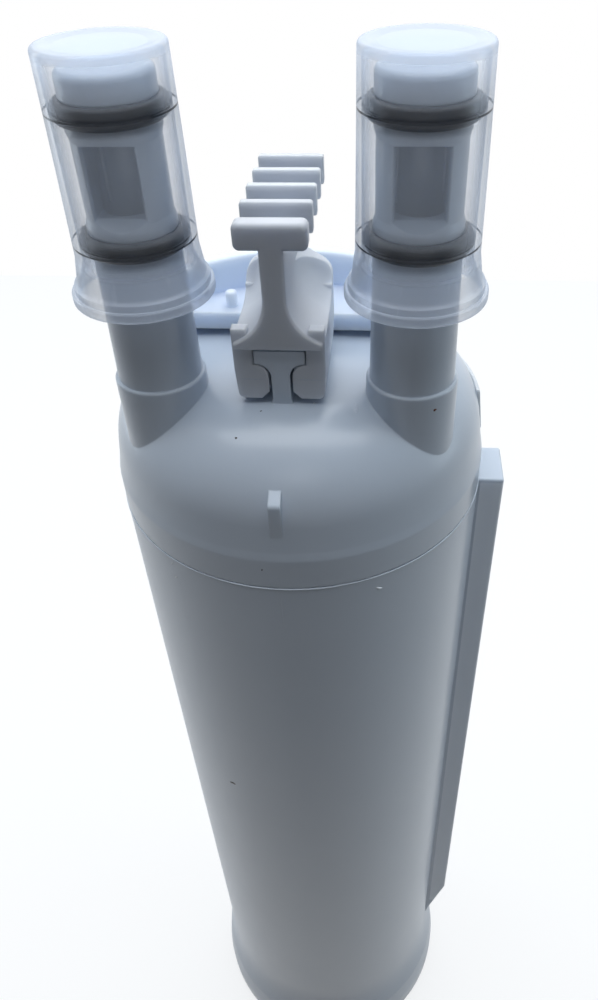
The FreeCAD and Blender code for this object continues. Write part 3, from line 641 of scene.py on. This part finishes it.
def grid_mesh(name: str, points: np.ndarray, closed_u: bool, closed_v: bool) -> bpy.types.Object:
    """Makes a smooth mesh from a grid of points.

    Args:
        name: The piece's name.
        points: The surface f(u, v) as an array of rows by columns by three.
        closed_u: Whether the last row joins the first.
        closed_v: Whether the last column joins the first.

    Returns:
        The new object, with doubled points merged and its faces pointing outwards.
    """
    rows, columns = points.shape[:2]
    u = np.arange(rows if closed_u else rows - 1)
    v = np.arange(columns if closed_v else columns - 1)
    near, across = np.meshgrid(u, v, indexing="ij")
    far = (near + 1) % rows
    beside = (across + 1) % columns
    quads = np.stack([near * columns + across, far * columns + across,
                      far * columns + beside, near * columns + beside], axis=-1).reshape(-1, 4)
    mesh = bpy.data.meshes.new(name)
    mesh.from_pydata(points.reshape(-1, 3).tolist(), [], quads.tolist())
    solid = bmesh.new()
    solid.from_mesh(mesh)
    bmesh.ops.remove_doubles(solid, verts=solid.verts, dist=1e-7)
    bmesh.ops.recalc_face_normals(solid, faces=solid.faces)
    solid.to_mesh(mesh)
    solid.free()
    mesh.polygons.foreach_set("use_smooth", np.ones(len(mesh.polygons), bool))
    piece = bpy.data.objects.new(name, mesh)
    bpy.context.scene.collection.objects.link(piece)
    return piece


def rounded_outline(corners: list[tuple[float, float, float]], steps: int = 7) -> np.ndarray:
    """Rounds the corners of an open outline with tangent arcs.

    Each rounded corner becomes the arc of its radius about the point on the bisector that lies that radius
    from both sides, swept from one tangent point to the other.

    Args:
        corners: Points of the outline, each a, b and its rounding radius.
        steps: Points on each arc.

    Returns:
        The outline as an array of points.
    """
    spots = np.array([corner[:2] for corner in corners])
    parts = [spots[:1]]
    for index in range(1, len(corners) - 1):
        radius = corners[index][2]
        spot = spots[index]
        if radius == 0:
            parts.append(spot[None])
            continue
        back = spots[index - 1] - spot
        ahead = spots[index + 1] - spot
        back /= np.linalg.norm(back)
        ahead /= np.linalg.norm(ahead)
        half = math.acos(float(np.clip(back @ ahead, -1, 1))) / 2
        middle = (back + ahead) / np.linalg.norm(back + ahead)
        centre = spot + middle * radius / math.sin(half)
        start = spot + back * radius / math.tan(half) - centre
        finish = spot + ahead * radius / math.tan(half) - centre
        sweep = math.pi - 2 * half
        share = np.linspace(0, 1, steps)[:, None]
        arc = (np.sin((1 - share) * sweep) * start + np.sin(share * sweep) * finish) / math.sin(sweep)
        parts.append(centre + arc)
    parts.append(spots[-1:])
    return np.vstack(parts)


def split_long_runs(outline: np.ndarray, longest: float) -> np.ndarray:
    """Adds points to an outline so that no run is longer than a given length.

    Args:
        outline: Points of an open outline.
        longest: The longest run allowed.

    Returns:
        The outline with evenly spaced points added.
    """
    lengths = np.linalg.norm(np.diff(outline, axis=0), axis=1)
    counts = np.maximum(1, np.ceil(lengths / longest)).astype(int)
    starts = np.repeat(outline[:-1], counts, axis=0)
    runs = np.repeat(np.diff(outline, axis=0), counts, axis=0)
    shares = np.concatenate([np.arange(count) / count for count in counts])[:, None]
    return np.vstack([starts + runs * shares, outline[-1:]])


@dataclass
class Placed:
    """Where a turned node stands, read from its box in the frame."""

    x: float
    y: float
    low: float
    high: float
    radius: float

    @classmethod
    def of(cls, node: str) -> "Placed":
        """Reads a node's axis, heights and outer radius from the frame."""
        low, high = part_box(node)
        return cls((low.x + high.x) / 2, (low.y + high.y) / 2, low.z, high.z, (high.x - low.x) / 2)


@dataclass
class DustCap:
    """A soft translucent cup over a port: stepped brim, flared foot, thin wall and a dished top."""

    side: str
    body: Body
    foot_radius: float = 8.6 * MM
    top_radius: float = 8.25 * MM
    bore: float = 7.7 * MM
    brim_wall: float = 0.9 * MM
    lip: float = 1.5 * MM
    step: float = 0.55 * MM
    step_height: float = 0.9 * MM
    flare: float = 6.7 * MM
    flare_inside: float = 1.0 * MM
    end_wall: float = 0.9 * MM
    dish: float = 0.25 * MM
    dish_rim: float = 1.1 * MM
    dish_floor: float = 2.4 * MM
    wobble: float = 0.05 * MM
    wobble_lobes: int = 3
    wobble_pitch: float = 160.0
    phase: float = 0.0
    turns: int = 160
    longest_run: float = 1.2 * MM

    def outline(self, spot: Placed) -> np.ndarray:
        """The cap's wall as one outline of radius and height, from the top's middle round to its inside.

        Args:
            spot: Where the cap's node stands.

        Returns:
            The outline as an array of radius and height.
        """
        brim = spot.radius
        mouth = spot.low
        top = spot.high
        lip_top = mouth + self.lip
        step_top = lip_top + self.step_height
        flare_top = mouth + self.flare
        inside_top = top - self.end_wall - self.dish
        corners = [
            (0.0, top - self.dish, 0), (self.top_radius - self.dish_floor, top - self.dish, 1.2 * MM),
            (self.top_radius - self.dish_rim, top, 0.4 * MM),
            (self.top_radius, top, 0.55 * MM), (self.foot_radius, flare_top, 3.5 * MM),
            (self.foot_radius + self.step, step_top + 0.4 * MM, 0.7 * MM),
            (brim - self.step, step_top, 0.2 * MM), (brim - self.step, lip_top, 0.1 * MM),
            (brim, lip_top, 0.3 * MM), (brim, mouth, 0.3 * MM), (brim - self.brim_wall, mouth, 0.25 * MM),
            (brim - self.brim_wall, lip_top, 0.5 * MM), (self.bore, flare_top - self.flare_inside, 2.0 * MM),
            (self.bore, inside_top, 0.5 * MM), (0.0, inside_top, 0)]
        return split_long_runs(rounded_outline(corners), self.longest_run)

    def surface(self, spot: Placed) -> np.ndarray:
        """Turns the outline about the port's axis.

        The radius shrinks by up to the wobble, by the product of a three-lobed wave round the axis and a slow
        wave up the wall, as a soft cup does once it is pushed over its O-rings.

        Args:
            spot: Where the cap's node stands.

        Returns:
            The wall as a grid of points, outline by turn.
        """
        outline = self.outline(spot)
        turn = np.linspace(0, 2 * math.pi, self.turns, endpoint=False)
        radius = outline[:, :1]
        height = outline[:, 1:]
        share = np.clip(radius / self.bore, 0, 1)
        rise = (height - spot.low) * self.wobble_pitch
        wave = np.sin(self.wobble_lobes * turn + self.phase)[None] * np.cos(rise)
        swell = radius - self.wobble * share * (0.5 + 0.5 * wave)
        return np.stack([spot.x + swell * np.cos(turn), spot.y + swell * np.sin(turn),
                         np.broadcast_to(height, swell.shape)], axis=-1)

    def finish(self, spot: Placed) -> MilkyPlastic:
        """The cap's finish, with its hairlines at the heights of the O-rings under it.

        Args:
            spot: Where the cap's node stands.

        Returns:
            The finish.
        """
        rings = [Placed.of(level + "_seal_" + self.side) for level in ("lower", "upper")]
        # The second colour is the bands' dark: grease with painted shade and painted reflection of the ring.
        return MilkyPlastic("milky_cap", linear(216, 224, 236), linear(16, 28, 44), spot.low, spot.high,
                            tuple((ring.low + ring.high) / 2 for ring in rings))

    def build(self, wardrobe: Wardrobe) -> bpy.types.Object:
        """Builds, dresses and places the cap, which stands for its node.

        Args:
            wardrobe: Where the finishes come from.

        Returns:
            The finished piece.
        """
        node = "port_cap_" + self.side
        spot = Placed.of(node)
        piece = grid_mesh("dust_cap_" + self.side, self.surface(spot), False, True)
        wardrobe.dress(piece, self.finish(spot))
        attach(piece, self.body.value)
        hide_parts(node)
        return piece


@dataclass
class SealRing:
    """An O-ring: a round section with the thin flash line that its mould leaves round the outside."""

    node: str
    flash: float = 0.03 * MM
    flash_angle: float = 0.14
    flattened: float = 1.16
    around: int = 144
    section: int = 36

    def surface(self, spot: Placed) -> np.ndarray:
        """Sweeps the section round the port.

        The section's radius is that of the ring plus a narrow bell curve where it faces straight out, which
        draws the flash line. Its height is stretched a little, as the cap's squeeze leaves it.

        Args:
            spot: Where the ring's node stands.

        Returns:
            The ring as a grid of points, turn by section.
        """
        turn = np.linspace(0, 2 * math.pi, self.around, endpoint=False)[:, None]
        bend = np.linspace(0, 2 * math.pi, self.section, endpoint=False)[None]
        half = (spot.high - spot.low) / 2
        out = np.abs((bend + math.pi) % (2 * math.pi) - math.pi)
        thick = half + self.flash * np.exp(-(out / self.flash_angle) ** 2)
        reach = spot.radius - half - self.flash + thick * np.cos(bend)
        rise = self.flattened * thick * np.sin(bend)
        height = np.broadcast_to((spot.low + spot.high) / 2 + rise, reach.shape)
        return np.stack(np.broadcast_arrays(spot.x + reach * np.cos(turn), spot.y + reach * np.sin(turn),
                                            height), axis=-1)

    def build(self, wardrobe: Wardrobe) -> bpy.types.Object:
        """Builds, dresses and places the ring, which stands for its node.

        Args:
            wardrobe: Where the finishes come from.

        Returns:
            The finished piece.
        """
        piece = grid_mesh("ring_" + self.node, self.surface(Placed.of(self.node)), True, True)
        wardrobe.dress(piece, SEAL)
        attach(piece, Body.CARTRIDGE.value)
        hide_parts(self.node)
        return piece


@dataclass
class SeamBead:
    """The thin bead pressed out of the seam by welding head and housing, paler than the shell as a painted
    highlight.
    """

    radius: float = 32.98 * MM
    height: float = 212.84 * MM
    thick: float = 0.13 * MM
    waves: tuple[tuple[int, float, float], ...] = ((7, 0.15, 0.5), (17, 0.12, 0.0))
    around: int = 360
    section: int = 8

    def surface(self) -> np.ndarray:
        """Sweeps a small round section along the seam.

        Its radius swells and shrinks by the sum of two waves round the axis, each with its number of lobes,
        its depth as a share of the radius and its phase, as a pressed-out bead does.

        Returns:
            The bead as a grid of points, turn by section.
        """
        turn = np.linspace(0, 2 * math.pi, self.around, endpoint=False)[:, None]
        bend = np.linspace(0, 2 * math.pi, self.section, endpoint=False)[None]
        swell = sum(depth * np.sin(lobes * turn + phase) for lobes, depth, phase in self.waves)
        thick = self.thick * (1 + swell)
        reach = self.radius + thick * np.cos(bend)
        height = self.height + thick * np.sin(bend)
        return np.stack([reach * np.cos(turn), reach * np.sin(turn), height], axis=-1)

    def build(self, wardrobe: Wardrobe) -> bpy.types.Object:
        """Builds, dresses and places the bead.

        Args:
            wardrobe: Where the finishes come from.

        Returns:
            The finished piece.
        """
        piece = grid_mesh("seam_bead", self.surface(), True, True)
        # The bead's paler colour is a painted highlight along the seam.
        wardrobe.dress(piece, BEAD_WITH_HIGHLIGHT)
        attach(piece, Body.CARTRIDGE.value)
        return piece


@dataclass
class PhotoCamera:
    """The camera of the photograph, found by fitting its view to the cartridge's own edges."""

    place: tuple[float, float, float] = (16.58 * MM, -120.24 * MM, 307.86 * MM)
    yaw: float = -4.949
    pitch: float = 40.83
    roll: float = -1.658
    focal_px: float = 810.592
    middle_px: tuple[float, float] = (336.339, 499.155)
    nearest: float = 5.0 * MM

    def axes(self) -> tuple[np.ndarray, np.ndarray, np.ndarray]:
        """The camera's right, up and forward directions.

        Returns:
            The three unit vectors, in the part's frame.
        """
        yaw, pitch, roll = (math.radians(angle) for angle in (self.yaw, self.pitch, self.roll))
        forward = np.array([math.sin(yaw) * math.cos(pitch), math.cos(yaw) * math.cos(pitch),
                            -math.sin(pitch)])
        level = np.array([math.cos(yaw), -math.sin(yaw), 0.0])
        upright = np.cross(level, forward)
        right = math.cos(roll) * level + math.sin(roll) * upright
        up = math.cos(roll) * upright - math.sin(roll) * level
        return right, up, forward

    def ray(self, pixel: tuple[float, float]) -> Vector:
        """The direction in which a pixel of the photograph looks.

        Args:
            pixel: Column and row in the photograph.

        Returns:
            The unit direction.
        """
        right, up, forward = self.axes()
        across = (pixel[0] - self.middle_px[0]) / self.focal_px
        down = (pixel[1] - self.middle_px[1]) / self.focal_px
        return Vector((forward + across * right - down * up).tolist()).normalized()

    def build(self) -> bpy.types.Object:
        """Makes the camera and gives it to the scene.

        Returns:
            The camera object.
        """
        data = bpy.data.cameras.new("photo_camera")
        data.sensor_width = SENSOR
        data.lens = self.focal_px * SENSOR / IMAGE_HEIGHT
        data.shift_x = (IMAGE_WIDTH / 2 - self.middle_px[0]) / IMAGE_HEIGHT
        data.shift_y = (self.middle_px[1] - IMAGE_HEIGHT / 2) / IMAGE_HEIGHT
        data.clip_start = self.nearest
        right, up, forward = self.axes()
        turn = Matrix([[right[i], up[i], -forward[i]] for i in range(3)]).to_4x4()
        camera = bpy.data.objects.new("photo_camera", data)
        camera.matrix_world = Matrix.Translation(Vector(self.place)) @ turn
        bpy.context.scene.collection.objects.link(camera)
        bpy.context.scene.camera = camera
        return camera


@dataclass
class Mark:
    """One mark on the surface, by the pixel of the photograph at which it shows."""

    name: str
    pixel: tuple[float, float]
    length: float
    width: float
    height: float
    finish: Deposit
    turn: float = 0.0
    ragged: float = 0.15


@dataclass
class Marks:
    """What moulding and handling left: specks, chips, a burr on the seam, mould lines and a gate witness."""

    camera: PhotoCamera
    carriers: tuple[tuple[str, Body, Slot], ...] = (
        ("head", Body.CARTRIDGE, Slot.SHELL), ("housing", Body.CARTRIDGE, Slot.SHELL),
        ("rear_shroud", Body.CARTRIDGE, Slot.SHROUD), ("filter_key", Body.KEY, Slot.KEY))
    rings: int = 8
    spokes: int = 28
    sunk: float = 0.1
    lobes: tuple[int, ...] = (3, 5, 8)
    marks: list[Mark] = field(default_factory=lambda: [
        Mark("speck_dome_left", (236, 438), 0.42 * MM, 0.34 * MM, 0.10 * MM, DIRT),
        Mark("speck_under_key", (261, 411), 0.34 * MM, 0.22 * MM, 0.08 * MM, DIRT, 0.6),
        Mark("speck_port_right", (435, 410), 0.55 * MM, 0.45 * MM, 0.12 * MM, RUST, 0.3),
        Mark("speck_low_left", (262, 570), 0.36 * MM, 0.26 * MM, 0.06 * MM, DIRT, 1.0),
        Mark("fleck_dome", (314, 403), 0.5 * MM, 0.22 * MM, 0.08 * MM, BURR, 0.8),
        Mark("gate_witness", (356, 408), 2.3 * MM, 0.8 * MM, 0.035 * MM, WITNESS, 1.2, 0.04),
        Mark("burr_on_seam", (379, 588), 1.3 * MM, 0.5 * MM, 0.2 * MM, BURR, -0.5, 0.3),
        Mark("chip_left_high", (172, 563), 1.0 * MM, 0.22 * MM, 0.08 * MM, BURR, 1.1, 0.3),
        Mark("chip_left_low", (176, 577), 0.8 * MM, 0.3 * MM, 0.08 * MM, BURR, 0.8, 0.3),
        Mark("mould_line_front", (282, 612), 11.0 * MM, 0.14 * MM, 0.03 * MM, WITNESS, 1.5708, 0.0),
        Mark("dent_low_left", (233, 783), 1.6 * MM, 0.7 * MM, 0.03 * MM, DIRT, 0.2, 0.2),
        Mark("mould_line_leg_left", (252, 379), 4.2 * MM, 0.12 * MM, 0.03 * MM, WITNESS, 0.0, 0.0),
        Mark("mould_line_leg_right", (310, 380), 4.2 * MM, 0.12 * MM, 0.03 * MM, WITNESS, 0.0, 0.0)])

    def _carrier(self, direction: Vector) -> tuple[Vector, Vector, Body, Slot]:
        """The nearest point that a ray from the camera meets, with its normal, body and material slot.

        Args:
            direction: Direction of the ray.

        Returns:
            The point, the normal there, and the carrier's body and material slot.
        """
        met = []
        for node, body, slot in self.carriers:
            tree = BVHTree.FromObject(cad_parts[node], bpy.context.evaluated_depsgraph_get())
            place, normal, _, reach = tree.ray_cast(Vector(self.camera.place), direction)
            if place is not None:
                met.append((reach, place, normal, body, slot))
        if not met:
            raise ValueError("no carrier under the mark")
        return min(met, key=lambda found: found[0])[1:]

    def surface(self, mark: Mark, place: Vector, normal: Vector, order: int) -> np.ndarray:
        """A low mound on a polar grid.

        Its height is the mark's height times one minus the square of the distance from its middle, and its
        rim runs in and out by the sum of three waves round it; the rim is sunk a little into the carrier.

        Args:
            mark: The mark's sizes.
            place: The point on the carrier that it lies on.
            normal: The carrier's normal there.
            order: The mark's number, which shifts its rim.

        Returns:
            The mound as a grid of points, from its middle outwards by turn.
        """
        share = np.linspace(0, 1, self.rings)[:, None]
        turn = np.linspace(0, 2 * math.pi, self.spokes, endpoint=False)[None]
        waves = sum(np.sin(lobe * turn + (step + 1) * order) for step, lobe in enumerate(self.lobes))
        rim = 1 + mark.ragged * waves / 2
        along = share * rim * np.cos(turn) * mark.length / 2
        across = share * rim * np.sin(turn) * mark.width / 2
        lift = mark.height * (1 - share ** 2 - self.sunk) + 0 * turn
        basis = normal.to_track_quat("Z", "Y").to_matrix() @ Matrix.Rotation(mark.turn, 3, "Z")
        local = np.stack([along, across, lift], axis=-1)
        return local @ np.array(basis).T + np.array(place)

    def build(self, wardrobe: Wardrobe) -> list[bpy.types.Object]:
        """Lays every mark on its carrier.

        Args:
            wardrobe: Where the finishes come from.

        Returns:
            The finished pieces.
        """
        made = []
        for order, mark in enumerate(self.marks):
            place, normal, body, slot = self._carrier(self.camera.ray(mark.pixel))
            piece = grid_mesh(mark.name, self.surface(mark, place, normal, order), False, True)
            wardrobe.dress(piece, mark.finish)
            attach(piece, body.value)
            made.append(piece)
        return made


@dataclass(frozen=True)
class Lamp:
    """One soft lamp: name, place, target, width and height in metres, watts, beam angle and colour."""

    name: str
    place: tuple[float, float, float]
    target: tuple[float, float, float]
    size: tuple[float, float]
    power: float
    spread: float = 180.0
    colour: tuple[float, float, float] = (0.93, 0.97, 1.0)


@dataclass
class Studio:
    """A plain pale floor and soft light: a broad sky above, a window behind, side strips, a dim front."""

    floor_half: float = 0.52
    floor_height: float = -0.05 * MM
    floor_colour: Colour = (0.95, 0.96, 0.97, 1.0)
    floor_bounce: Colour = (0.05, 0.054, 0.06, 1.0)
    floor_shade: Colour = (0.24, 0.24, 0.24, 1.0)
    floor_glow: float = 0.79
    ambient: Colour = (0.80, 0.88, 1.0, 1.0)
    ambient_strength: float = 0.053
    lamps: tuple[Lamp, ...] = (
        Lamp("sky_overhead", (0.0, 0.10, 1.15), (0.0, 0.0, 0.24), (1.2, 0.9), 12.0),
        Lamp("window_behind", (0.05, 0.85, 0.75), (0.0, 0.0, 0.24), (1.1, 0.8), 3.5),
        Lamp("strip_left", (-0.75, 0.30, 0.40), (0.0, 0.0, 0.13), (0.3, 0.9), 1.75, 180.0, (0.78, 0.91, 1.0)),
        Lamp("strip_right", (0.75, 0.10, 0.42), (0.0, 0.0, 0.13), (0.3, 0.9), 1.4, 180.0, (0.76, 0.92, 1.0)),
        Lamp("front_high", (0.04, -0.52, 0.66), (0.0, 0.0, 0.28), (0.45, 0.35), 0.024, 34.0))

    def floor(self) -> bpy.types.Object:
        """The floor, white to the camera and in reflections, which takes the shadow; clear from below.

        Returns:
            The floor's object.
        """
        board = Board.of_material("pale_floor")
        lit = board.node("ShaderNodeBsdfDiffuse", {}, {"Color": self.floor_bounce})
        shade = board.node("ShaderNodeBsdfDiffuse", {}, {"Color": self.floor_shade})
        glow = board.node("ShaderNodeEmission", {},
                          {"Color": self.floor_colour, "Strength": self.floor_glow})
        both = board.node("ShaderNodeAddShader", {}, {0: Wire(board, shade.outputs[0]),
                                                      1: Wire(board, glow.outputs[0])})
        seen = board.mixed(board.background_seen(), lit, both)
        below = Wire(board, board.node("ShaderNodeNewGeometry").outputs["Backfacing"])
        sheet = board.mixed(below, seen, board.node("ShaderNodeBsdfTransparent"))
        board.node("ShaderNodeOutputMaterial", {}, {"Surface": Wire(board, sheet.outputs[0])})
        edge = np.linspace(-self.floor_half, self.floor_half, 3)
        across, along = np.meshgrid(edge, edge, indexing="ij")
        level = np.full_like(across, self.floor_height)
        piece = grid_mesh("floor", np.stack([across, along, level], axis=-1), False, False)
        if piece.data.polygons[0].normal.z < 0:
            piece.data.flip_normals()
        piece.data.materials.append(board.owner)
        return piece

    def world(self) -> None:
        """The surroundings: white where the camera or a reflection sees them, dim and cool as light."""
        board = Board(bpy.data.worlds.new("studio"))
        dim = board.node("ShaderNodeBackground", {},
                         {"Color": self.ambient, "Strength": self.ambient_strength})
        white = board.node("ShaderNodeBackground", {}, {"Color": (1.0, 1.0, 1.0, 1.0)})
        seen = board.mixed(board.background_seen(), dim, white)
        board.node("ShaderNodeOutputWorld", {}, {"Surface": Wire(board, seen.outputs[0])})
        bpy.context.scene.world = board.owner

    def hang(self, lamp: Lamp) -> bpy.types.Object:
        """Hangs one soft lamp and points it at its target.

        Args:
            lamp: The lamp's place, target, size and light.

        Returns:
            The lamp's object.
        """
        data = bpy.data.lights.new(lamp.name, "AREA")
        data.shape = "RECTANGLE"
        data.size, data.size_y = lamp.size
        data.energy = lamp.power
        data.spread = math.radians(lamp.spread)
        data.color = lamp.colour
        hung = bpy.data.objects.new(lamp.name, data)
        hung.location = lamp.place
        heading = Vector(lamp.target) - Vector(lamp.place)
        hung.rotation_euler = heading.to_track_quat("-Z", "Y").to_euler()
        hung.visible_camera = False
        bpy.context.scene.collection.objects.link(hung)
        return hung

    def build(self) -> None:
        """Sets up floor, world, lamps and the view's transform."""
        self.floor()
        self.world()
        for lamp in self.lamps:
            self.hang(lamp)
        bpy.context.scene.view_settings.view_transform = "Standard"


def dress_nodes(wardrobe: Wardrobe) -> None:
    """Gives every node of the frame that stays its finish.

    Args:
        wardrobe: Where the finishes come from.
    """
    for name, finish in NODE_FINISH.items():
        wardrobe.dress(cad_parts[name], finish)
        log.info("node %s dressed as %s", name, finish.name)


def main() -> None:
    """Builds the camera, the studio and every piece, in order, and reports each."""
    logging.basicConfig(level=logging.INFO, format="%(name)s: %(message)s")
    wardrobe = Wardrobe()
    camera = PhotoCamera()
    camera.build()
    Studio().build()
    dress_nodes(wardrobe)
    pieces = [DustCap("left", Body.LEFT_CAP, phase=0.4).build(wardrobe),
              DustCap("right", Body.RIGHT_CAP, phase=2.1).build(wardrobe)]
    for side in ("left", "right"):
        pieces += [SealRing(level + "_seal_" + side).build(wardrobe) for level in ("lower", "upper")]
    pieces.append(SeamBead().build(wardrobe))
    pieces += Marks(camera).build(wardrobe)
    for piece in pieces:
        log.info("%s: %d faces", piece.name, len(piece.data.polygons))


if __name__ == "__main__":
    main()
